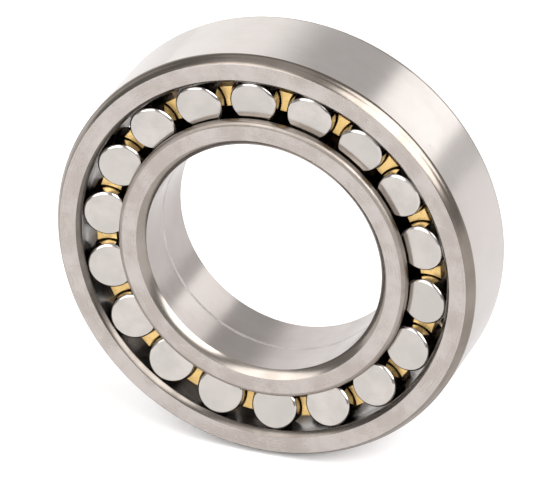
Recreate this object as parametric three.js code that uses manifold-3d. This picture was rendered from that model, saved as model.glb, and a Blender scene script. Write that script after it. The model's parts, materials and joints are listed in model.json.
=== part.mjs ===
// A double-row spherical roller bearing with a machined brass cage: 90 mm bore,
// 160 mm outside diameter, 40 mm wide. Millimetres, +Z up.
// The bearing's axis is +Y, its centre is the origin, and the front row is on the -Y side.

import * as THREE from "three";
import { mergeVertices } from "three/addons/utils/BufferGeometryUtils.js";
import Module from "manifold-3d";

const wasm = await Module();
wasm.setup();

// ---------------------------------------------------------------- driving dimensions

const BORE_RADIUS = 45;
const OUTSIDE_RADIUS = 80;
const WIDTH = 40;

const ROLLERS_PER_ROW = 18;
const ROLLER_RADIUS = 9;
const ROLLER_LENGTH = 14.2;
const ROLLER_PROFILE_RADIUS = 70.5; // radius of the barrel's curve along its length
const ROLLER_CORNER = { radial: 0.85, axial: 0.85 };
const ROW_OFFSET = 10; // from the middle plane to a row's roller centres
const FIRST_ROLLER_ANGLE = 13.75; // degrees from +X towards +Z, front row

const RACEWAY_RADIUS = 72; // the sphere inside the outer ring, and the curve on the inner ring
const RUNNING_CLEARANCE = 0.15; // between a roller and each raceway

// A chamfer's crown is how far its middle stands out from the straight line between its edges.
const OUTER_CHAMFER = { radial: 2.4, axial: 3.6, crown: 0.18 };
const OUTER_MOUTH_RADIUS = 71.4; // inner edge of the outer ring's side face
const OUTER_MOUTH_CROWN = 0.12;
const RACEWAY_HALF_WIDTH = 18;

const BORE_CHAMFER = { radial: 2.85, axial: 2.8, crown: 0.22 };
const RIB_RADIUS = 55.1;
const RIB_WIDTH = 3.1;
const RIB_ROUND = 1.7;
const RIB_UNDERCUT = 0.5; // step from the inner raceway's end out to the rib
const LAND_RADIUS = 55.2; // the middle land that carries the guide ring
const LAND_HALF_WIDTH = 1.4;
const LAND_SHOULDER = 0.6; // from the land's edge down to the raceway

const GUIDE_RING = { inner: 55.35, outer: 59.5, endGap: 0.2 };

const CAGE_WEB = { inner: 59.9, outer: 66.1, endGap: 0.25 };
const PRONG = { inner: 58.2, outer: 66.1, reach: 12.9, waist: 60.3, halfWaist: 1.4, flare: 0.04 };
const PRONG_START = 1.8; // inside the web, so that prong and web join
const GUIDE_RING_RELIEF = 2.65; // half width of the recess that lets the guide ring turn
const RECESS_OVERCUT = 1; // how far the recess starts inside everything that it cuts

const RING_SIDES = 72;
const ROLLER_SIDES = 12;
const CORNER_STEPS = 3; // straight steps round a chamfer or a rounded corner
const MERGE_DISTANCE = 1e-4; // points nearer than this are one point

// ---------------------------------------------------------------- worked out from them

const HALF_WIDTH = WIDTH / 2;
const ROLLER_DISTANCE = RACEWAY_RADIUS - ROLLER_RADIUS - RUNNING_CLEARANCE;
const TILT = Math.asin(ROW_OFFSET / ROLLER_DISTANCE);
const PITCH_RADIUS = ROLLER_DISTANCE * Math.cos(TILT);
const PITCH_ANGLE = (2 * Math.PI) / ROLLERS_PER_ROW;
const FIRST_ANGLE = THREE.MathUtils.degToRad(FIRST_ROLLER_ANGLE);

// The inner raceway's curve is centred out past the rollers, on the line through a roller's centre.
const INNER_CURVE_DISTANCE = 2 * ROLLER_DISTANCE;
const INNER_CURVE_RADIUS = INNER_CURVE_DISTANCE * Math.cos(TILT);
const INNER_CURVE_HEIGHT = INNER_CURVE_DISTANCE * Math.sin(TILT);

// Distance from the middle plane to a roller's end face, at a given radius.
// end is -1 for the end beside the middle plane and 1 for the end beside the side face.
function rollerEndHeight(radius, end) {
  const middleRadius = PITCH_RADIUS - (end * ROLLER_LENGTH * Math.sin(TILT)) / 2;
  const middleHeight = ROW_OFFSET + (end * ROLLER_LENGTH * Math.cos(TILT)) / 2;
  return middleHeight - (middleRadius - radius) * Math.tan(TILT);
}

function innerRacewayRadius(height) {
  const offset = height - INNER_CURVE_HEIGHT;
  return INNER_CURVE_RADIUS - Math.sqrt(RACEWAY_RADIUS ** 2 - offset ** 2);
}

// ---------------------------------------------------------------- shape helpers

const point = (radius, height) => new THREE.Vector2(radius, height);

// Points on a quarter ellipse, or part of one: x and y are its centre, angles in degrees.
function arc(x, y, radiusX, radiusY, from, to, steps) {
  return Array.from({ length: steps + 1 }, (_, i) => {
    const angle = THREE.MathUtils.degToRad(from + ((to - from) * i) / steps);
    return point(x + radiusX * Math.cos(angle), y + radiusY * Math.sin(angle));
  });
}

// A curved chamfer from one edge to the other, standing out on the right of that line by crown.
function crowned(from, to, crown, steps) {
  const chord = to.clone().sub(from);
  const outward = point(chord.y, -chord.x).normalize();
  const radius = (chord.lengthSq() / 4 + crown ** 2) / (2 * crown);
  const halfAngle = Math.asin(chord.length() / 2 / radius);
  const centre = from.clone().add(to).divideScalar(2);
  centre.addScaledVector(outward, crown - radius);
  return Array.from({ length: steps + 1 }, (_, i) => {
    const turn = halfAngle * ((2 * i) / steps - 1);
    return outward.clone().multiplyScalar(radius).rotateAround(point(0, 0), turn).add(centre);
  });
}

// Points of a curve radius(height), evenly spaced in height.
function along(radiusAt, from, to, steps) {
  return Array.from({ length: steps + 1 }, (_, i) => {
    const height = from + ((to - from) * i) / steps;
    return point(radiusAt(height), height);
  });
}

// A ring whose section is the given upper half and its mirror image below.
function ringGeometry(upperHalf) {
  const lowerHalf = upperHalf.map((p) => point(p.x, -p.y)).reverse();
  return new THREE.LatheGeometry([...upperHalf, ...lowerHalf, upperHalf[0]], RING_SIDES);
}

function solidOf(geometry) {
  const bare = geometry.clone();
  bare.deleteAttribute("normal");
  bare.deleteAttribute("uv");
  const merged = mergeVertices(bare, MERGE_DISTANCE);
  return new wasm.Manifold(
    new wasm.Mesh({
      numProp: 3,
      vertProperties: merged.attributes.position.array,
      triVerts: new Uint32Array(merged.index.array),
    }),
  );
}

function geometryOf(solid) {
  const mesh = solid.getMesh();
  const geometry = new THREE.BufferGeometry();
  geometry.setAttribute("position", new THREE.BufferAttribute(mesh.vertProperties, 3));
  geometry.setIndex(new THREE.BufferAttribute(mesh.triVerts, 1));
  geometry.computeVertexNormals();
  return geometry;
}

// ---------------------------------------------------------------- materials

const ringSteel = () =>
  new THREE.MeshStandardMaterial({ color: 0xc9c2be, roughness: 0.34, metalness: 1 });
const rollerSteel = () =>
  new THREE.MeshStandardMaterial({ color: 0xd6d3d2, roughness: 0.18, metalness: 1 });
const guideSteel = () =>
  new THREE.MeshStandardMaterial({ color: 0xa7a29f, roughness: 0.42, metalness: 1 });
const cageBrass = () =>
  new THREE.MeshStandardMaterial({ color: 0xd9ad62, roughness: 0.38, metalness: 1 });

// ---------------------------------------------------------------- outer ring

function outerRing() {
  const sphereAt = (height) => Math.sqrt(RACEWAY_RADIUS ** 2 - height ** 2);
  const outsideEdge = point(OUTSIDE_RADIUS, HALF_WIDTH - OUTER_CHAMFER.axial);
  const faceOuterEdge = point(OUTSIDE_RADIUS - OUTER_CHAMFER.radial, HALF_WIDTH);
  const faceInnerEdge = point(OUTER_MOUTH_RADIUS, HALF_WIDTH);
  const racewayEdge = point(sphereAt(RACEWAY_HALF_WIDTH), RACEWAY_HALF_WIDTH);
  return ringGeometry([
    ...crowned(outsideEdge, faceOuterEdge, OUTER_CHAMFER.crown, CORNER_STEPS),
    ...crowned(faceInnerEdge, racewayEdge, OUTER_MOUTH_CROWN, CORNER_STEPS),
    ...along(sphereAt, RACEWAY_HALF_WIDTH, 0, 5).slice(1, -1),
  ]);
}

// ---------------------------------------------------------------- inner ring

// Bore, two curved raceways, a retaining rib at each side and the land between the raceways.
function innerRing() {
  const ribFace = HALF_WIDTH - RIB_WIDTH;
  const racewayEnd = ribFace - RIB_UNDERCUT;
  const roundX = RIB_RADIUS - RIB_ROUND;
  const roundY = HALF_WIDTH - RIB_ROUND;
  const faceInnerEdge = point(BORE_RADIUS + BORE_CHAMFER.radial, HALF_WIDTH);
  const boreEdge = point(BORE_RADIUS, HALF_WIDTH - BORE_CHAMFER.axial);
  return ringGeometry([
    point(LAND_RADIUS, LAND_HALF_WIDTH),
    ...along(innerRacewayRadius, LAND_HALF_WIDTH + LAND_SHOULDER, racewayEnd, 4),
    point(RIB_RADIUS, ribFace),
    ...arc(roundX, roundY, RIB_ROUND, RIB_ROUND, 0, 90, CORNER_STEPS),
    ...crowned(faceInnerEdge, boreEdge, BORE_CHAMFER.crown, CORNER_STEPS),
  ]);
}

// ---------------------------------------------------------------- guide ring

// A loose ring on the inner ring's land. Its side faces lean as the roller ends do.
function guideRing() {
  const halfWidth = (radius) => rollerEndHeight(radius, -1) - GUIDE_RING.endGap;
  return ringGeometry([
    point(GUIDE_RING.outer, halfWidth(GUIDE_RING.outer)),
    point(GUIDE_RING.inner, halfWidth(GUIDE_RING.inner)),
  ]);
}

// ---------------------------------------------------------------- cage

// Section of a prong: x is the distance from the bearing's axis and y is across the prong.
// Both flanks are hollow, so the prong is narrow between the rollers and flares outwards.
function prongSection() {
  const steps = 5;
  const halfWidth = (radius) => PRONG.halfWaist + PRONG.flare * (radius - PRONG.waist) ** 2;
  const flank = Array.from({ length: steps + 1 }, (_, i) => {
    const radius = PRONG.outer + ((PRONG.inner - PRONG.outer) * i) / steps;
    return point(radius, halfWidth(radius));
  });
  const otherFlank = flank.map((p) => point(p.x, -p.y)).reverse();
  return new THREE.Shape([...flank, ...otherFlank]);
}

// side is -1 for a prong of the front row and 1 for one of the back row.
function prongGeometry(section, angle, side) {
  const prong = new THREE.ExtrudeGeometry(section, {
    depth: PRONG.reach - PRONG_START,
    steps: 1,
    bevelEnabled: false,
  });
  const outward = new THREE.Vector3(Math.cos(angle), 0, Math.sin(angle));
  const axial = new THREE.Vector3(0, side, 0);
  const across = new THREE.Vector3().crossVectors(axial, outward);
  const place = new THREE.Matrix4().makeBasis(outward, across, axial);
  place.setPosition(axial.clone().multiplyScalar(PRONG_START));
  return prong.applyMatrix4(place);
}

// One piece: a web between the two rows, with a prong between each two rollers of a row.
function cage() {
  const webHalfWidth = (radius) => rollerEndHeight(radius, -1) - CAGE_WEB.endGap;
  const webInner = (CAGE_WEB.inner + GUIDE_RING.outer) / 2; // the recess trims it to CAGE_WEB.inner
  const web = ringGeometry([
    point(CAGE_WEB.outer, webHalfWidth(CAGE_WEB.outer)),
    point(webInner, webHalfWidth(webInner)),
  ]);
  const recess = ringGeometry([
    point(CAGE_WEB.inner, GUIDE_RING_RELIEF),
    point(PRONG.inner - RECESS_OVERCUT, GUIDE_RING_RELIEF),
  ]);
  const section = prongSection();
  let body = solidOf(web);
  for (const [side, firstAngle] of [
    [-1, FIRST_ANGLE + PITCH_ANGLE / 2],
    [1, FIRST_ANGLE],
  ]) {
    for (let i = 0; i < ROLLERS_PER_ROW; i++) {
      body = body.add(solidOf(prongGeometry(section, firstAngle + i * PITCH_ANGLE, side)));
    }
  }
  return geometryOf(body.subtract(solidOf(recess)));
}

// ---------------------------------------------------------------- rollers

// A barrel about the local Y axis.
function rollerGeometry() {
  const half = ROLLER_LENGTH / 2;
  const cornerStart = half - ROLLER_CORNER.axial;
  const barrel = (height) =>
    ROLLER_RADIUS - ROLLER_PROFILE_RADIUS + Math.sqrt(ROLLER_PROFILE_RADIUS ** 2 - height ** 2);
  const faceRadius = barrel(cornerStart) - ROLLER_CORNER.radial;
  return new THREE.LatheGeometry(
    [
      point(0, -half),
      point(faceRadius, -half),
      ...along(barrel, -cornerStart, cornerStart, 4),
      point(faceRadius, half),
      point(0, half),
    ],
    ROLLER_SIDES,
  );
}

// A row of rollers, each leaning so that its outer end is nearer the bearing's axis.
// side is -1 for the front row and 1 for the back row.
function rollerRow(name, side, firstAngle) {
  const row = new THREE.Group();
  const geometry = rollerGeometry();
  for (let i = 0; i < ROLLERS_PER_ROW; i++) {
    const roller = new THREE.Mesh(geometry, rollerSteel());
    roller.name = `${name}_${String(i + 1).padStart(2, "0")}`;
    roller.position.set(PITCH_RADIUS, side * ROW_OFFSET, 0);
    roller.rotation.z = side * TILT;
    const place = new THREE.Group();
    place.rotation.y = -(firstAngle + i * PITCH_ANGLE);
    place.add(roller);
    row.add(place);
  }
  return row;
}

// ---------------------------------------------------------------- assembly

function part(name, geometry, material) {
  const mesh = new THREE.Mesh(geometry, material);
  mesh.name = name;
  return mesh;
}

const bearing = new THREE.Group();
bearing.name = "spherical_roller_bearing";
bearing.add(
  part("outer_ring", outerRing(), ringSteel()),
  part("inner_ring", innerRing(), ringSteel()),
  part("guide_ring", guideRing(), guideSteel()),
  part("cage", cage(), cageBrass()),
  rollerRow("roller_front", -1, FIRST_ANGLE),
  rollerRow("roller_back", 1, FIRST_ANGLE + PITCH_ANGLE / 2),
);

export default bearing;
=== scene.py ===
"""Looks of a double-row spherical roller bearing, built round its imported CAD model.

Sizes are in millimetres. A size that the CAD source also has goes by the same name here.
The bearing's axis is +Y, the front row of rollers is on the -Y side, and +Z is up.
"""

import json
import math
import random

import bpy
from mathutils import Matrix, Vector


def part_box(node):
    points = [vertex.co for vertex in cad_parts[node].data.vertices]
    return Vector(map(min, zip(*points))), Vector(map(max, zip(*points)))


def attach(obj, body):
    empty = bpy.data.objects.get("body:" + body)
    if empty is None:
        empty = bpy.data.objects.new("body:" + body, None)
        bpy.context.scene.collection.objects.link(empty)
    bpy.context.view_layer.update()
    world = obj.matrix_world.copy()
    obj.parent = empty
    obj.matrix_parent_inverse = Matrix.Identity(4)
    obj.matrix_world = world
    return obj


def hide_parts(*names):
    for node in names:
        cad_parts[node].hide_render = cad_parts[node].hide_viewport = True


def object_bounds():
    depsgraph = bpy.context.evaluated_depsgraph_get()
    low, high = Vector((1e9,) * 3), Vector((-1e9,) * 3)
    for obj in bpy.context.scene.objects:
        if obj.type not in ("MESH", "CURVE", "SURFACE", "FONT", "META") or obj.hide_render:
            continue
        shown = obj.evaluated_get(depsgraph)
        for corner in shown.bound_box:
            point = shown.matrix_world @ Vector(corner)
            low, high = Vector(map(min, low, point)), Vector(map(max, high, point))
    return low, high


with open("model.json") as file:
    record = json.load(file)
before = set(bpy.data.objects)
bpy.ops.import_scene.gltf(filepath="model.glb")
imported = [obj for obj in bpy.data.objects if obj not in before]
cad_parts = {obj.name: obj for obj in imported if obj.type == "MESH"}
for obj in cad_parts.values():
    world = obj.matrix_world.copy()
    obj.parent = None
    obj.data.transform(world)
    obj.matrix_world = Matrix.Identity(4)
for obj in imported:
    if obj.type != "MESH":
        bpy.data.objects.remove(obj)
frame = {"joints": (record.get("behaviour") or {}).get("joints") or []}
cad_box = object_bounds()

# ---------------------------------------------------------------- sizes

MM = 0.001  # a millimetre, in metres
OUTSIDE_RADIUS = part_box("outer_ring")[1].x / MM
HALF_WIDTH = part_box("outer_ring")[1].y / MM
BORE_RADIUS = 45.0

# A corner's or a chamfer's crown is how far its middle stands out from the line between its edges.
ROLLERS_PER_ROW = 18
ROLLER_RADIUS = 9.0
ROLLER_LENGTH = 14.2
ROLLER_PROFILE_RADIUS = 70.5  # of the barrel's curve along its length
ROLLER_CORNER = {"radial": 0.85, "axial": 0.85, "crown": 0.08}
ROW_OFFSET = 10.0  # from the middle plane to the middle of a row's rollers
FIRST_ROLLER_ANGLE = math.radians(13.75)  # of the front row, from +X towards +Z

RACEWAY_RADIUS = 72.0  # of the sphere in the outer ring, and of the curve on the inner ring
RUNNING_CLEARANCE = 0.15  # between a roller and each raceway

OUTER_CHAMFER = {"radial": 2.4, "axial": 3.6, "crown": 0.18}
OUTER_MOUTH_RADIUS = 71.4  # of the inner edge of the side face
OUTER_MOUTH_CROWN = 0.12
RACEWAY_HALF_WIDTH = 18.0

BORE_CHAMFER = {"radial": 2.85, "axial": 2.8, "crown": 0.22}
RIB_RADIUS = 55.1
RIB_WIDTH = 3.1
RIB_ROUND = 1.7
RIB_UNDERCUT = 0.5  # along the axis, from the end of the raceway to the rib
LAND_RADIUS = 55.2
LAND_HALF_WIDTH = 1.4
LAND_SHOULDER = 0.6  # along the axis, from the edge of the land to the raceway

GUIDE_RING = {"inner": 55.35, "outer": 59.5, "end_gap": 0.2}
CAGE_WEB = {"inner": 59.9, "outer": 66.1, "end_gap": 0.25}
PRONG = {"inner": 58.2, "outer": 66.1, "reach": 12.9, "waist": 60.3, "half_waist": 1.4, "flare": 0.04}
PRONG_START = 1.8  # inside the web, so that the two join
GUIDE_RING_RELIEF = 2.65  # half width of the recess in the prongs round the guide ring
RECESS_OVERCUT = 1  # how far inside the prongs the recess starts

# Finer detail, which the CAD model doesn't have. The crown of the roller's corner is another.
PRONG_TIP_CHAMFER = 0.22
EDGE_ROUND = 0.08  # a sharp edge is broken by a small round this far along each side
OUTSIDE_BLEND = {"along": 0.8, "across": 1.3}  # a larger round, from the outside into its chamfer
BORE_LINE = {"middle": -0.9, "half_width": 0.7}  # a band round the bore, rougher than the rest
FLAT_MARGIN = 0.3  # a ring this close to the end of a flat keeps the shading of the flat true

RING_SEGMENTS = 288
ROLLER_SEGMENTS = 72
ROUND_STEPS = 5
SHARP_ANGLE = math.radians(32)
SAME_POINT = 1e-6  # points nearer than this are one point

ROLLER_DISTANCE = RACEWAY_RADIUS - ROLLER_RADIUS - RUNNING_CLEARANCE
TILT = math.asin(ROW_OFFSET / ROLLER_DISTANCE)
PITCH_RADIUS = ROLLER_DISTANCE * math.cos(TILT)
PITCH_ANGLE = 2 * math.pi / ROLLERS_PER_ROW
INNER_CURVE_RADIUS = 2 * ROLLER_DISTANCE * math.cos(TILT)
INNER_CURVE_HEIGHT = 2 * ROLLER_DISTANCE * math.sin(TILT)


def roller_end_height(radius, end):
    """Distance from the middle plane to a roller's end face.

    end is -1 for the face beside the middle plane, and 1 for the one beside the side face.
    """
    middle_radius = PITCH_RADIUS - end * ROLLER_LENGTH * math.sin(TILT) / 2
    middle_height = ROW_OFFSET + end * ROLLER_LENGTH * math.cos(TILT) / 2
    return middle_height - (middle_radius - radius) * math.tan(TILT)


def inner_raceway_radius(height):
    offset = abs(height) - INNER_CURVE_HEIGHT
    return INNER_CURVE_RADIUS - math.sqrt(RACEWAY_RADIUS**2 - offset**2)


def outer_raceway_radius(height):
    return math.sqrt(RACEWAY_RADIUS**2 - height**2)


def barrel_radius(height):
    return ROLLER_RADIUS - ROLLER_PROFILE_RADIUS + math.sqrt(ROLLER_PROFILE_RADIUS**2 - height**2)


# ---------------------------------------------------------------- node graphs


class Graph:
    """A short way to write shader nodes. Every call but node and put returns an output socket."""

    def __init__(self, tree):
        self.tree = tree
        tree.nodes.clear()

    def node(self, kind, settings=None, **inputs):
        made = self.tree.nodes.new("ShaderNode" + kind)
        for name, value in (settings or {}).items():
            setattr(made, name, value)
        for name, value in inputs.items():
            self.put(made.inputs[name.replace("_", " ")], value)
        return made

    def put(self, socket, value):
        if isinstance(value, bpy.types.NodeSocket):
            self.tree.links.new(value, socket)
        else:
            socket.default_value = value

    def math(self, operation, *values):
        made = self.node("Math", {"operation": operation})
        for socket, value in zip(made.inputs, values):
            self.put(socket, value)
        return made.outputs[0]

    def vectors(self, operation, a, b):
        made = self.node("VectorMath", {"operation": operation})
        self.put(made.inputs[0], a)
        self.put(made.inputs[1], b)
        return made.outputs["Value" if operation == "DOT_PRODUCT" else "Vector"]

    def ramp(self, value, start, end, low=0.0, high=1.0):
        """Smooth change from low at start to high at end."""
        made = self.node("MapRange", {"interpolation_type": "SMOOTHSTEP"}, Value=value)
        for name, number in (("From Min", start), ("From Max", end), ("To Min", low), ("To Max", high)):
            made.inputs[name].default_value = number
        return made.outputs["Result"]

    def mix(self, factor, a, b):
        """Colour a where factor is 0, and b where it is 1. The numbers are the node's colour sockets."""
        made = self.node("Mix", {"data_type": "RGBA"})
        self.put(made.inputs[0], factor)
        self.put(made.inputs[6], a)
        self.put(made.inputs[7], b)
        return made.outputs[2]

    def noise(self, vector, scale, detail, roughness=0.5, w=None):
        made = self.node("TexNoise", {"noise_dimensions": "3D" if w is None else "4D"})
        self.put(made.inputs["Vector"], vector)
        if w is not None:
            self.put(made.inputs["W"], w)
        made.inputs["Scale"].default_value = scale
        made.inputs["Detail"].default_value = detail
        made.inputs["Roughness"].default_value = roughness
        return made.outputs[0]


# ---------------------------------------------------------------- materials

# Each effect of a finish comes in over this range of its noise.
PATCH_TONE_RANGE = (0.34, 0.66)
PATCH_ROUGHNESS_RANGE = (0.3, 0.7)
LINE_TONE_RANGE = (0.3, 0.7)
LINE_ROUGHNESS_RANGE = (0.35, 0.7)
SPECK_ROUGHNESS_RANGE = (0.62, 0.76)
SPECK_WEAR_RANGE = (0.35, 0.6)

LINE_ROUGHNESS = (-0.02, 0.03)
SPECK_ROUGHNESS = 0.08
SPECKS_PER_BLOTCH = 6
LEAST_WEAR = 0.4
WEAR_POLISH = 0.08
LEAST_ROUGHNESS = 0.05
LEAST_RADIUS = 1e-6  # in metres, so that nothing is divided by 0 on the axis
SEED_SHIFT = 40.0  # how far a seed of 1 moves the marks
SEED_TONE = 0.8  # how far a seed of 1 turns the colour to the dark one


def machined_metal(
    name,
    light,
    dark,
    roughness,
    marks=(0.5, 5.0),
    marks_depth=0.0012,
    marks_tone=0.3,
    blotch=9.0,
    blotch_roughness=0.06,
    worn=None,
    anisotropy=0.0,
    seeded=False,
):
    """Turned or ground metal. Its marks run round the piece's own Y axis.

    marks is a mark's usual width in mm, and how many follow one another in a radian of the turn.
    marks_depth is in mm, and marks_tone is the part of the tone that follows the marks.
    blotch is the size in mm of the soft lighter and darker patches, which make the rest of it.
    worn is the colour of rubbed edges. A seeded finish differs from piece to piece.
    """
    material = bpy.data.materials.new(name)
    material.use_nodes = True
    g = Graph(material.node_tree)
    place = g.node("TexCoord").outputs["Object"]
    x, y, z = g.node("SeparateXYZ", Vector=place).outputs
    if seeded:
        seed = g.node("Attribute", {"attribute_name": "seed"}).outputs["Fac"]

    # Marks: slow along the turn, quick across it.
    squares = g.math("ADD", g.math("MULTIPLY", x, x), g.math("MULTIPLY", z, z))
    radius = g.math("ADD", g.math("SQRT", squares), LEAST_RADIUS)
    width, turns = marks
    across = 1 / (width * MM)
    turned = g.node(
        "CombineXYZ",
        X=g.math("MULTIPLY", g.math("DIVIDE", x, radius), turns),
        Y=g.math("MULTIPLY", g.math("DIVIDE", z, radius), turns),
        Z=g.math("MULTIPLY", radius, across),
    ).outputs[0]
    along = g.math("MULTIPLY", y, across)
    if seeded:
        along = g.math("ADD", along, g.math("MULTIPLY", seed, SEED_SHIFT))
    lines = g.noise(turned, scale=1.0, detail=3.0, roughness=0.65, w=along)

    # Patches: where the grinding has cut a little finer or coarser, and where hands have been.
    if seeded:
        place = g.vectors("ADD", place, g.node("CombineXYZ", X=seed, Y=seed, Z=seed).outputs[0])
    patches = g.noise(place, scale=1 / (blotch * MM), detail=4.0, roughness=0.6)
    specks = g.noise(place, scale=SPECKS_PER_BLOTCH / (blotch * MM), detail=5.0, roughness=0.7)

    tone = g.math(
        "ADD",
        g.ramp(patches, *PATCH_TONE_RANGE, 0.0, 1 - marks_tone),
        g.ramp(lines, *LINE_TONE_RANGE, 0.0, marks_tone),
    )
    colour = g.mix(tone, (*dark, 1), (*light, 1))
    coarse, fine = roughness + blotch_roughness, roughness - blotch_roughness / 2
    rough = g.math(
        "ADD",
        g.ramp(patches, *PATCH_ROUGHNESS_RANGE, coarse, fine),
        g.ramp(specks, *SPECK_ROUGHNESS_RANGE, 0.0, SPECK_ROUGHNESS),
    )
    rough = g.math("ADD", rough, g.ramp(lines, *LINE_ROUGHNESS_RANGE, *LINE_ROUGHNESS))
    if worn:
        edge = g.node("Attribute", {"attribute_name": "edge"}).outputs["Fac"]
        rubbed = g.math("MULTIPLY", edge, g.ramp(specks, *SPECK_WEAR_RANGE, LEAST_WEAR, 1.0))
        colour = g.mix(rubbed, colour, (*worn, 1))
        rough = g.math("SUBTRACT", rough, g.math("MULTIPLY", rubbed, WEAR_POLISH))
    if seeded:
        colour = g.mix(g.math("MULTIPLY", seed, SEED_TONE), colour, (*dark, 1))
    shader = g.node(
        "BsdfPrincipled",
        Base_Color=colour,
        Metallic=1.0,
        Roughness=g.math("MAXIMUM", rough, LEAST_ROUGHNESS),
        Normal=g.node("Bump", Strength=1.0, Distance=marks_depth * MM, Height=lines).outputs[0],
    )
    if anisotropy:
        shader.inputs["Anisotropic"].default_value = anisotropy
        tangent = g.node("Tangent", {"direction_type": "RADIAL", "axis": "Y"})
        g.put(shader.inputs["Tangent"], tangent.outputs[0])
    g.put(g.node("OutputMaterial").inputs["Surface"], shader.outputs[0])
    return material


STEEL_WORN = (0.7, 0.67, 0.65)

ground = machined_metal(
    "ground_ring_steel", (0.61, 0.575, 0.56), (0.565, 0.53, 0.51), 0.17,
    marks=(0.45, 5.0), marks_depth=0.0005, blotch=22.0, blotch_roughness=0.015,
    worn=STEEL_WORN, anisotropy=0.3,
)
# Painted shade: the bore gets a darker tone than the outside. It stands in for the bearing's own shadow on
# the floor behind, which the bore reflects.
bore_steel_painted_shade = machined_metal(
    "ground_bore_steel_painted_shade", (0.47, 0.435, 0.42), (0.415, 0.38, 0.365), 0.19,
    marks=(0.5, 4.0), marks_depth=0.0005, blotch=18.0, blotch_roughness=0.02,
    worn=STEEL_WORN, anisotropy=0.3,
)
rough_band = machined_metal(
    "turned_band_steel", (0.7, 0.66, 0.64), (0.6, 0.56, 0.54), 0.55,
    marks=(0.3, 4.0), marks_depth=0.003, blotch=10.0,
)
face = machined_metal(
    "face_ring_steel", (0.58, 0.535, 0.51), (0.465, 0.42, 0.39), 0.25,
    marks=(0.5, 1.5), marks_depth=0.0003, marks_tone=0.09, blotch=13.0, worn=STEEL_WORN,
)
corner = machined_metal(
    "hardened_corner_steel", (0.31, 0.275, 0.245), (0.23, 0.2, 0.175), 0.22,
    marks=(0.35, 3.0), marks_depth=0.001, blotch=14.0, blotch_roughness=0.02,
    worn=(0.5, 0.46, 0.43),
)
# Painted light: a lighter copy of the hardened corner steel, so that the highlights on the bore's chamfer
# come out brighter than those on the outer ring's chamfer.
bore_corner = machined_metal(
    "bore_corner_steel_painted_light", (0.38, 0.345, 0.315), (0.3, 0.27, 0.242), 0.22,
    marks=(0.35, 3.0), marks_depth=0.001, blotch=14.0, blotch_roughness=0.02,
    worn=(0.52, 0.49, 0.46),
)
# Partly the dark hardened finish of the chamfers, and partly painted shade: the mouth is darker still. This
# stands in for the shade in the recess and the dark inside that it reflects.
mouth = machined_metal(
    "hardened_mouth_steel_and_painted_shade", (0.205, 0.185, 0.168), (0.14, 0.122, 0.107), 0.24,
    marks=(0.35, 3.0), marks_depth=0.001, blotch=10.0, blotch_roughness=0.04,
    worn=(0.34, 0.3, 0.27),
)
rib_corner = machined_metal(
    "rib_corner_steel", (0.4, 0.36, 0.33), (0.3, 0.265, 0.235), 0.4,
    marks=(0.35, 3.0), marks_depth=0.001, blotch=12.0, worn=(0.42, 0.38, 0.35),
)
# Painted shade: the raceways get a far darker tone than the ground ring steel. It stands in for the dark
# inside of the bearing that they reflect.
raceway = machined_metal(
    "raceway_steel_painted_shade", (0.25, 0.235, 0.225), (0.17, 0.158, 0.15), 0.16,
    marks=(0.3, 6.0), marks_depth=0.0006, blotch=10.0,
)
roller_end = machined_metal(
    "roller_end_steel", (0.67, 0.625, 0.6), (0.535, 0.515, 0.485), 0.16,
    marks=(0.25, 2.0), marks_depth=0.0004, blotch=9.0, blotch_roughness=0.03,
    seeded=True,
)
roller_corner = machined_metal(
    "roller_corner_steel", (0.66, 0.63, 0.61), (0.58, 0.55, 0.53), 0.14,
    marks=(0.25, 2.0), marks_depth=0.0004, blotch=6.0, blotch_roughness=0.03,
    worn=STEEL_WORN, seeded=True,
)
roller_barrel = machined_metal(
    "roller_barrel_steel", (0.55, 0.53, 0.52), (0.45, 0.43, 0.42), 0.13,
    marks=(0.25, 2.0), marks_depth=0.0005, blotch=6.0, blotch_roughness=0.03,
    seeded=True,
)
guide = machined_metal(
    "guide_ring_steel", (0.36, 0.34, 0.33), (0.26, 0.245, 0.235), 0.3,
    marks=(0.5, 4.0), marks_depth=0.002, blotch=8.0, worn=(0.5, 0.48, 0.47),
)
brass = machined_metal(
    "cage_brass", (0.86, 0.62, 0.27), (0.72, 0.49, 0.19), 0.27,
    marks=(0.35, 6.0), marks_depth=0.0015, blotch=4.0, worn=(0.9, 0.72, 0.42),
)


# ---------------------------------------------------------------- turned shapes

# A section is a list of zones: a material, and its points as (radius, height along the axis).


def arc(centre, radius, start, end, steps):
    """Points on part of a circle: angles in degrees, from outwards towards +Y."""
    points = []
    for i in range(steps + 1):
        angle = math.radians(start + (end - start) * i / steps)
        points.append((centre[0] + radius * math.cos(angle), centre[1] + radius * math.sin(angle)))
    return points


def crowned(start, end, crown, steps=10):
    """A curved chamfer from start to end, standing out on the right of that line by crown."""
    chord = Vector(end) - Vector(start)
    outward = Vector((chord.y, -chord.x)).normalized()
    radius = (chord.length_squared / 4 + crown**2) / (2 * crown)
    half_angle = math.asin(chord.length / 2 / radius)
    centre = (Vector(start) + Vector(end)) / 2 + outward * (crown - radius)
    points = []
    for i in range(steps + 1):
        turn = half_angle * (2 * i / steps - 1)
        points.append(tuple(centre + Matrix.Rotation(turn, 2) @ outward * radius))
    return points


def bend(start, corner_point, end, steps=8):
    """A smooth bend from start to end, held by the corner between them."""
    a, b, c = Vector(start), Vector(corner_point), Vector(end)
    points = []
    for i in range(steps + 1):
        t = i / steps
        points.append(tuple(a * (1 - t) ** 2 + b * 2 * t * (1 - t) + c * t**2))
    return points


def curve(radius_at, start, end, steps):
    heights = [start + (end - start) * i / steps for i in range(steps + 1)]
    return [(radius_at(h), h) for h in heights]


def flipped(zones):
    """The same zones on the other side of the middle plane, run through backwards."""
    return [(material, [(r, -h) for r, h in reversed(points)]) for material, points in reversed(zones)]


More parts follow.
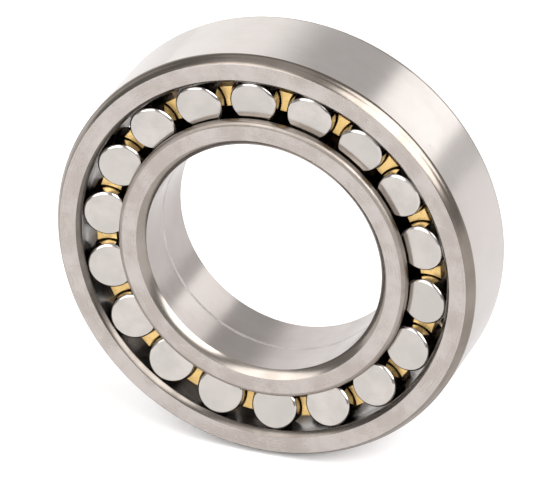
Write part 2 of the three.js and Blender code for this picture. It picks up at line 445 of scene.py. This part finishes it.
def mirrored(zones):
    """A section from its upper half: the same zones again, below the middle plane."""
    return zones + flipped(zones)


def joined(zones):
    """The section as one line of points, with the material of the step that starts at each point."""
    points, materials = [], []
    for material, zone in zones:
        for p in zone:
            if points and math.dist(points[-1], p) < SAME_POINT:
                materials[-1] = material
                continue
            points.append(p)
            materials.append(material)
    return points, materials


def turning(a, b, c):
    """How sharply a line of points turns at b."""
    first = math.atan2(b[1] - a[1], b[0] - a[0])
    second = math.atan2(c[1] - b[1], c[0] - b[0])
    return abs((second - first + math.pi) % (2 * math.pi) - math.pi)


def with_round_edges(points, materials, closed):
    """Breaks every sharp corner of a section with a small round.

    Returns the points, the material of the step that starts at each, and how worn each is.
    """
    made = []
    count = len(points)
    for i, p in enumerate(points):
        before, after = points[i - 1], points[(i + 1) % count]
        inside = closed or 0 < i < count - 1
        if not (inside and turning(before, p, after) > SHARP_ANGLE / 2):
            made.append((p, materials[i], 0.0))
            continue
        p, before, after = Vector(p), Vector(before), Vector(after)
        back, on = before - p, after - p
        reach = min(EDGE_ROUND, back.length / 3, on.length / 3)
        back, on = back.normalized() * reach, on.normalized() * reach
        # One more point along each side keeps the flats flat.
        made.append((tuple(p + back * 2), materials[i - 1], 0.0))
        for t in (k / ROUND_STEPS for k in range(ROUND_STEPS + 1)):
            # A quadratic curve through both ends of the round, held by the corner.
            material = materials[i - 1] if t < 0.5 else materials[i]
            made.append((tuple(p + back * (1 - t) ** 2 + on * t**2), material, math.sin(math.pi * t)))
        made.append((tuple(p + on * 2), materials[i], 0.0))
    return [list(column) for column in zip(*made)]


def turned_piece(name, zones, segments, closed=True, seed=None):
    """A solid of revolution about Y. An open section starts and ends on the axis."""
    points, zone_materials = joined(zones)
    if closed and math.dist(points[0], points[-1]) < SAME_POINT:
        points, zone_materials = points[:-1], zone_materials[:-1]
    points, zone_materials, wear = with_round_edges(points, zone_materials, closed)
    count = len(points)
    angles = [2 * math.pi * k / segments for k in range(segments)]
    vertices, vertex_wear, rings = [], [], []
    for (radius, height), worn in zip(points, wear):
        if radius < SAME_POINT:
            rings.append([len(vertices)] * segments)
            vertices.append((0.0, height * MM, 0.0))
            vertex_wear.append(worn)
        else:
            rings.append(list(range(len(vertices), len(vertices) + segments)))
            vertices += [(radius * MM * math.cos(a), height * MM, radius * MM * math.sin(a)) for a in angles]
            vertex_wear += [worn] * segments
    faces, face_materials = [], []
    materials = list(dict.fromkeys(zone_materials))
    for i in range(count if closed else count - 1):
        a, b = rings[i], rings[(i + 1) % count]
        for k in range(segments):
            n = (k + 1) % segments
            # On the axis two of the corners are one point, so the face is a triangle.
            faces.append(list(dict.fromkeys((a[k], b[k], b[n], a[n]))))
            face_materials.append(materials.index(zone_materials[i]))
    mesh = bpy.data.meshes.new(name)
    mesh.from_pydata(vertices, [], faces)
    for material in materials:
        mesh.materials.append(material)
    mesh.polygons.foreach_set("material_index", face_materials)
    add_attribute(mesh, "edge", vertex_wear)
    if seed is not None:
        add_attribute(mesh, "seed", [seed] * len(vertices))
    return finished(name, mesh)


def add_attribute(mesh, name, values):
    mesh.attributes.new(name, "FLOAT", "POINT").data.foreach_set("value", values)


def finished(name, mesh):
    """An object of the mesh, smooth but for its sharp edges, with its faces turned outwards."""
    mesh.validate()
    if signed_volume(mesh) < 0:
        mesh.flip_normals()
    mesh.shade_smooth()
    mesh.set_sharp_from_angle(angle=SHARP_ANGLE)
    made = bpy.data.objects.new(name, mesh)
    bpy.context.scene.collection.objects.link(made)
    return made


def signed_volume(mesh):
    """Six times the volume, and negative where the faces point inwards."""
    mesh.calc_loop_triangles()
    at = [v.co for v in mesh.vertices]
    return sum(at[t.vertices[0]].dot(at[t.vertices[1]].cross(at[t.vertices[2]])) for t in mesh.loop_triangles)


# ---------------------------------------------------------------- rings


def outer_ring():
    outside_edge = (OUTSIDE_RADIUS, HALF_WIDTH - OUTER_CHAMFER["axial"])
    face_outer_edge = (OUTSIDE_RADIUS - OUTER_CHAMFER["radial"], HALF_WIDTH)
    face_inner_edge = (OUTER_MOUTH_RADIUS, HALF_WIDTH)
    raceway_edge = (outer_raceway_radius(RACEWAY_HALF_WIDTH), RACEWAY_HALF_WIDTH)
    blend_start = (OUTSIDE_RADIUS, outside_edge[1] - OUTSIDE_BLEND["along"])
    chamfer_way = (Vector(face_outer_edge) - Vector(outside_edge)).normalized()
    blend_end = tuple(Vector(outside_edge) + chamfer_way * OUTSIDE_BLEND["across"])
    upper = [
        (ground, [(OUTSIDE_RADIUS, 0), (OUTSIDE_RADIUS, blend_start[1] - FLAT_MARGIN), blend_start]),
        (corner, bend(blend_start, outside_edge, blend_end)),
        (corner, crowned(blend_end, face_outer_edge, OUTER_CHAMFER["crown"])),
        (face, [face_outer_edge, face_inner_edge]),
        (mouth, crowned(face_inner_edge, raceway_edge, OUTER_MOUTH_CROWN)),
        (raceway, curve(outer_raceway_radius, RACEWAY_HALF_WIDTH, 0, steps=14)),
    ]
    return turned_piece("outer_ring_turned", mirrored(upper), RING_SEGMENTS)


def inner_ring():
    rib_face = HALF_WIDTH - RIB_WIDTH
    raceway_end = rib_face - RIB_UNDERCUT
    round_centre = (RIB_RADIUS - RIB_ROUND, HALF_WIDTH - RIB_ROUND)
    face_inner_edge = (BORE_RADIUS + BORE_CHAMFER["radial"], HALF_WIDTH)
    bore_edge = (BORE_RADIUS, HALF_WIDTH - BORE_CHAMFER["axial"])
    upper = [
        (ground, [(LAND_RADIUS, 0), (LAND_RADIUS, LAND_HALF_WIDTH)]),
        (raceway, curve(inner_raceway_radius, LAND_HALF_WIDTH + LAND_SHOULDER, raceway_end, steps=16)),
        (corner, [(inner_raceway_radius(raceway_end), raceway_end), (RIB_RADIUS, rib_face)]),
        (rib_corner, arc(round_centre, RIB_ROUND, 0, 90, steps=10)),
        (face, [(round_centre[0], HALF_WIDTH), face_inner_edge]),
        (bore_corner, crowned(face_inner_edge, bore_edge, BORE_CHAMFER["crown"])),
    ]
    line_top = BORE_LINE["middle"] + BORE_LINE["half_width"]
    line_bottom = BORE_LINE["middle"] - BORE_LINE["half_width"]
    bore = [
        (bore_steel_painted_shade, [bore_edge, (BORE_RADIUS, line_top)]),
        (rough_band, [(BORE_RADIUS, line_top), (BORE_RADIUS, line_bottom)]),
        (bore_steel_painted_shade, [(BORE_RADIUS, line_bottom), (BORE_RADIUS, -bore_edge[1])]),
    ]
    return turned_piece("inner_ring_turned", upper + bore + flipped(upper), RING_SEGMENTS)


def ring_between_rows(name, size, material):
    """A ring whose side faces lean as the roller ends beside them do."""

    def half_width(radius):
        return roller_end_height(radius, -1) - size["end_gap"]

    outer, inner = size["outer"], size["inner"]
    upper = [(material, [(outer, 0), (outer, half_width(outer)), (inner, half_width(inner)), (inner, 0)])]
    return turned_piece(name, mirrored(upper), RING_SEGMENTS)


def guide_ring():
    return ring_between_rows("guide_ring_turned", GUIDE_RING, guide)


# ---------------------------------------------------------------- cage


def prong_half_width(radius):
    return PRONG["half_waist"] + PRONG["flare"] * (radius - PRONG["waist"]) ** 2


def prong_section(inset, steps=12):
    """Radius and distance across, all round a prong, drawn in by inset."""
    inner, outer = PRONG["inner"] + inset, PRONG["outer"] - inset
    radii = [outer + (inner - outer) * i / steps for i in range(steps + 1)]
    flank = [(r, prong_half_width(r) - inset) for r in radii]
    return flank + [(r, -w) for r, w in reversed(flank)]


def prongs():
    """Every prong of the cage, as closed shells in one mesh: lists of vertices and faces."""
    layers = [
        (PRONG_START, prong_section(0)),
        (PRONG["reach"] - PRONG_TIP_CHAMFER, prong_section(0)),
        (PRONG["reach"], prong_section(PRONG_TIP_CHAMFER)),
    ]
    size = len(layers[0][1])
    top = len(layers) - 1
    vertices, faces = [], []
    for side, first in ((-1, FIRST_ROLLER_ANGLE + PITCH_ANGLE / 2), (1, FIRST_ROLLER_ANGLE)):
        for i in range(ROLLERS_PER_ROW):
            angle = first + i * PITCH_ANGLE
            base = len(vertices)
            for height, section in layers:
                for radius, across in section:
                    x = radius * math.cos(angle) - across * math.sin(angle)
                    z = radius * math.sin(angle) + across * math.cos(angle)
                    vertices.append((x * MM, side * height * MM, z * MM))
            shell = [list(reversed(range(size))), list(range(size * top, size * (top + 1)))]
            for layer in range(top):
                for k in range(size):
                    n = (k + 1) % size
                    low, high = layer * size, (layer + 1) * size
                    shell.append([low + k, low + n, high + n, high + k])
            for f in shell:
                f = [base + k for k in f]
                faces.append(f if side == -1 else list(reversed(f)))
    return vertices, faces


def combine(target, operation, tool):
    """Cuts the tool from the target, or joins it on, and removes the tool."""
    step = target.modifiers.new(operation, "BOOLEAN")
    step.operation = operation
    step.solver = "MANIFOLD"
    step.object = tool
    whole = bpy.data.meshes.new_from_object(target.evaluated_get(bpy.context.evaluated_depsgraph_get()))
    target.modifiers.clear()
    target.data = whole
    bpy.data.objects.remove(tool)


def cage():
    """A web between the rows with prongs on both sides, and a recess in them for the guide ring."""
    web = ring_between_rows("cage_machined", CAGE_WEB, brass)
    inner, outer = PRONG["inner"] - RECESS_OVERCUT, CAGE_WEB["inner"]
    upper = [
        (brass, [(outer, 0), (outer, GUIDE_RING_RELIEF), (inner, GUIDE_RING_RELIEF), (inner, 0)]),
    ]
    recess = turned_piece("recess", mirrored(upper), RING_SEGMENTS)
    prong_mesh = bpy.data.meshes.new("prongs")
    vertices, faces = prongs()
    prong_mesh.from_pydata(vertices, [], faces)
    prong_mesh.materials.append(brass)
    prong_piece = finished("prongs", prong_mesh)
    combine(prong_piece, "DIFFERENCE", recess)
    combine(web, "UNION", prong_piece)
    web.data.name = "cage_machined"
    web.data.shade_smooth()
    web.data.set_sharp_from_angle(angle=SHARP_ANGLE)
    return web


# ---------------------------------------------------------------- rollers


def roller_at(name, middle, axis, seed):
    """A barrel roller along its own Y axis, then placed on its joint's axis."""
    half = ROLLER_LENGTH / 2
    corner_start = half - ROLLER_CORNER["axial"]
    barrel_edge = (barrel_radius(corner_start), corner_start)
    face_edge = (barrel_edge[0] - ROLLER_CORNER["radial"], half)
    upper = [
        (roller_barrel, curve(barrel_radius, 0, corner_start, steps=8)),
        (roller_corner, crowned(barrel_edge, face_edge, ROLLER_CORNER["crown"], steps=6)),
        (roller_end, [face_edge, (face_edge[0] / 2, half), (0, half)]),
    ]
    made = turned_piece(name, flipped(upper) + upper, ROLLER_SEGMENTS, closed=False, seed=seed)
    turn = Vector((0, 1, 0)).rotation_difference(Vector(axis))
    made.matrix_world = Matrix.Translation(Vector(middle)) @ turn.to_matrix().to_4x4()
    return made


# ---------------------------------------------------------------- assembly

ROLLER_SEED = 7

for build, body, slot in (
    (outer_ring, "outer_ring", "ring_steel"),
    (inner_ring, "inner_ring", "ring_steel"),
    (guide_ring, "guide_ring", "guide_ring_steel"),
    (cage, "cage", "cage_brass"),
):
    piece = build()
    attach(piece, body)
    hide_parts(body)

dice = random.Random(ROLLER_SEED)
for joint in frame["joints"]:
    body = joint["child"]
    if not body.startswith("roller_"):
        continue
    piece = roller_at(f"{body}_ground", joint["pos_m"], joint["axis"], dice.random())
    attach(piece, body)
    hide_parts(body)

# ---------------------------------------------------------------- studio

# The camera sees the floor paler than reflections do, as in an overexposed picture.
FLOOR_SIZE = 12.0  # in metres
FLOOR_GRAIN = 180.0
FLOOR_LIT = ((0.63, 0.625, 0.63, 1), (0.655, 0.65, 0.655, 1))
FLOOR_SEEN = ((0.875, 0.87, 0.88, 1), (0.895, 0.89, 0.9, 1))
FLOOR_ROUGHNESS = 0.75
FLOOR_SPECULAR = 0.1
OVEREXPOSURE = 0.17  # what the camera sees of the floor on top of its lit shade

PALE = (1.0, 1.0, 1.0, 1)
BACKDROP = 1.05  # brightness behind the bearing, which only the camera sees

# Soft panels round the studio: direction, radius in degrees of the full part and of the faded
# edge, and brightness.
PANELS = {
    "back_wall": ((0.0, 1.0, 0.12), 32, 60, 0.33),
    "right_wall": ((0.85, 0.8, -0.1), 15, 38, 0.18),
    "left_window": ((-0.6, 0.76, 0.12), 20, 39, 0.66),
    "front_wall": ((0.0, -1.0, 0.2), 18, 36, 0.55),
    "overhead": ((-0.28, -0.05, 0.93), 14, 30, 0.5),
    "back_softbox": ((0.432, 0.828, 0.36), 10.8, 13.8, 1.0),
    "right_softbox": ((0.66, -0.2, 0.69), 26, 31, 4.8),
    "left_softbox": ((-0.42, -0.65, 0.63), 21, 29, 2.9),
}
PANEL_COLOUR = (1.0, 0.985, 0.97, 1)
ROOM = 0.3  # brightness all round, which the panels add to


def make_floor():
    mesh = bpy.data.meshes.new("studio_floor")
    half = FLOOR_SIZE / 2
    corners = [(-half, -half, 0), (half, -half, 0), (half, half, 0), (-half, half, 0)]
    mesh.from_pydata(corners, [], [(0, 1, 2, 3)])
    made = bpy.data.objects.new("studio_floor", mesh)
    made.location.z = cad_box[0].z
    material = bpy.data.materials.new("pale_floor")
    material.use_nodes = True
    g = Graph(material.node_tree)
    grain = g.noise(g.node("TexCoord").outputs["Object"], FLOOR_GRAIN, detail=3.0)
    seen = g.node("LightPath").outputs["Is Camera Ray"]
    shade = g.mix(seen, g.mix(grain, *FLOOR_LIT), g.mix(grain, *FLOOR_SEEN))
    shader = g.node("BsdfPrincipled", Base_Color=shade, Roughness=FLOOR_ROUGHNESS)
    shader.inputs["Specular IOR Level"].default_value = FLOOR_SPECULAR
    shader.inputs["Emission Color"].default_value = PALE
    g.put(shader.inputs["Emission Strength"], g.math("MULTIPLY", seen, OVEREXPOSURE))
    g.put(g.node("OutputMaterial").inputs["Surface"], shader.outputs[0])
    mesh.materials.append(material)
    bpy.context.scene.collection.objects.link(made)


def make_world():
    world = bpy.data.worlds.new("studio")
    world.use_nodes = True
    bpy.context.scene.world = world
    g = Graph(world.node_tree)
    direction = g.node("TexCoord").outputs["Generated"]
    light = ROOM
    for towards, full, faded, brightness in PANELS.values():
        nearness = g.vectors("DOT_PRODUCT", direction, tuple(Vector(towards).normalized()))
        edge, middle = math.cos(math.radians(faded)), math.cos(math.radians(full))
        light = g.math("ADD", light, g.ramp(nearness, edge, middle, 0.0, brightness))
    studio = g.node("Background", Color=PANEL_COLOUR, Strength=light)
    backdrop = g.node("Background", Color=PALE, Strength=BACKDROP)
    both = g.node("MixShader")
    g.put(both.inputs[0], g.node("LightPath").outputs["Is Camera Ray"])
    g.put(both.inputs[1], studio.outputs[0])
    g.put(both.inputs[2], backdrop.outputs[0])
    g.put(g.node("OutputWorld").inputs["Surface"], both.outputs[0])


def soft_light(name, place, size, watts):
    """A round lamp that faces the bearing. It doesn't show in reflections."""
    data = bpy.data.lights.new(name, "AREA")
    data.shape = "DISK"
    data.size = size
    data.energy = watts
    lamp = bpy.data.objects.new(name, data)
    lamp.location = place
    lamp.rotation_euler = Vector(place).to_track_quat("Z", "Y").to_euler()
    lamp.visible_glossy = False
    bpy.context.scene.collection.objects.link(lamp)


make_floor()
make_world()
soft_light("key_light", place=(-1.7, -0.2, 1.6), size=1.4, watts=10)
soft_light("fill_light", place=(1.3, -1.3, 1.9), size=1.8, watts=8)

# ---------------------------------------------------------------- camera

AZIMUTH = math.radians(20.4)
ELEVATION = math.radians(28.0)
DISTANCE = 2.134  # in metres
LENS = 387.0
SENSOR_WIDTH = 36.0
CLIP = (0.1, 50.0)  # in metres
FRAMING = Vector((-1.73, -2.2)) * MM  # how far the aim lies right of and above the middle of the bearing


def make_camera():
    back = Vector((
        math.sin(AZIMUTH) * math.cos(ELEVATION),
        -math.cos(AZIMUTH) * math.cos(ELEVATION),
        math.sin(ELEVATION),
    ))
    turn = back.to_track_quat("Z", "Y")
    middle = (cad_box[0] + cad_box[1]) / 2
    aim = middle + turn @ Vector((FRAMING.x, FRAMING.y, 0))
    data = bpy.data.cameras.new("camera")
    data.lens = LENS
    data.sensor_width = SENSOR_WIDTH
    data.clip_start, data.clip_end = CLIP
    camera = bpy.data.objects.new("camera", data)
    camera.location = aim + back * DISTANCE
    camera.rotation_euler = turn.to_euler()
    bpy.context.scene.collection.objects.link(camera)
    bpy.context.scene.camera = camera


make_camera()
bpy.context.scene.view_settings.view_transform = "Standard"
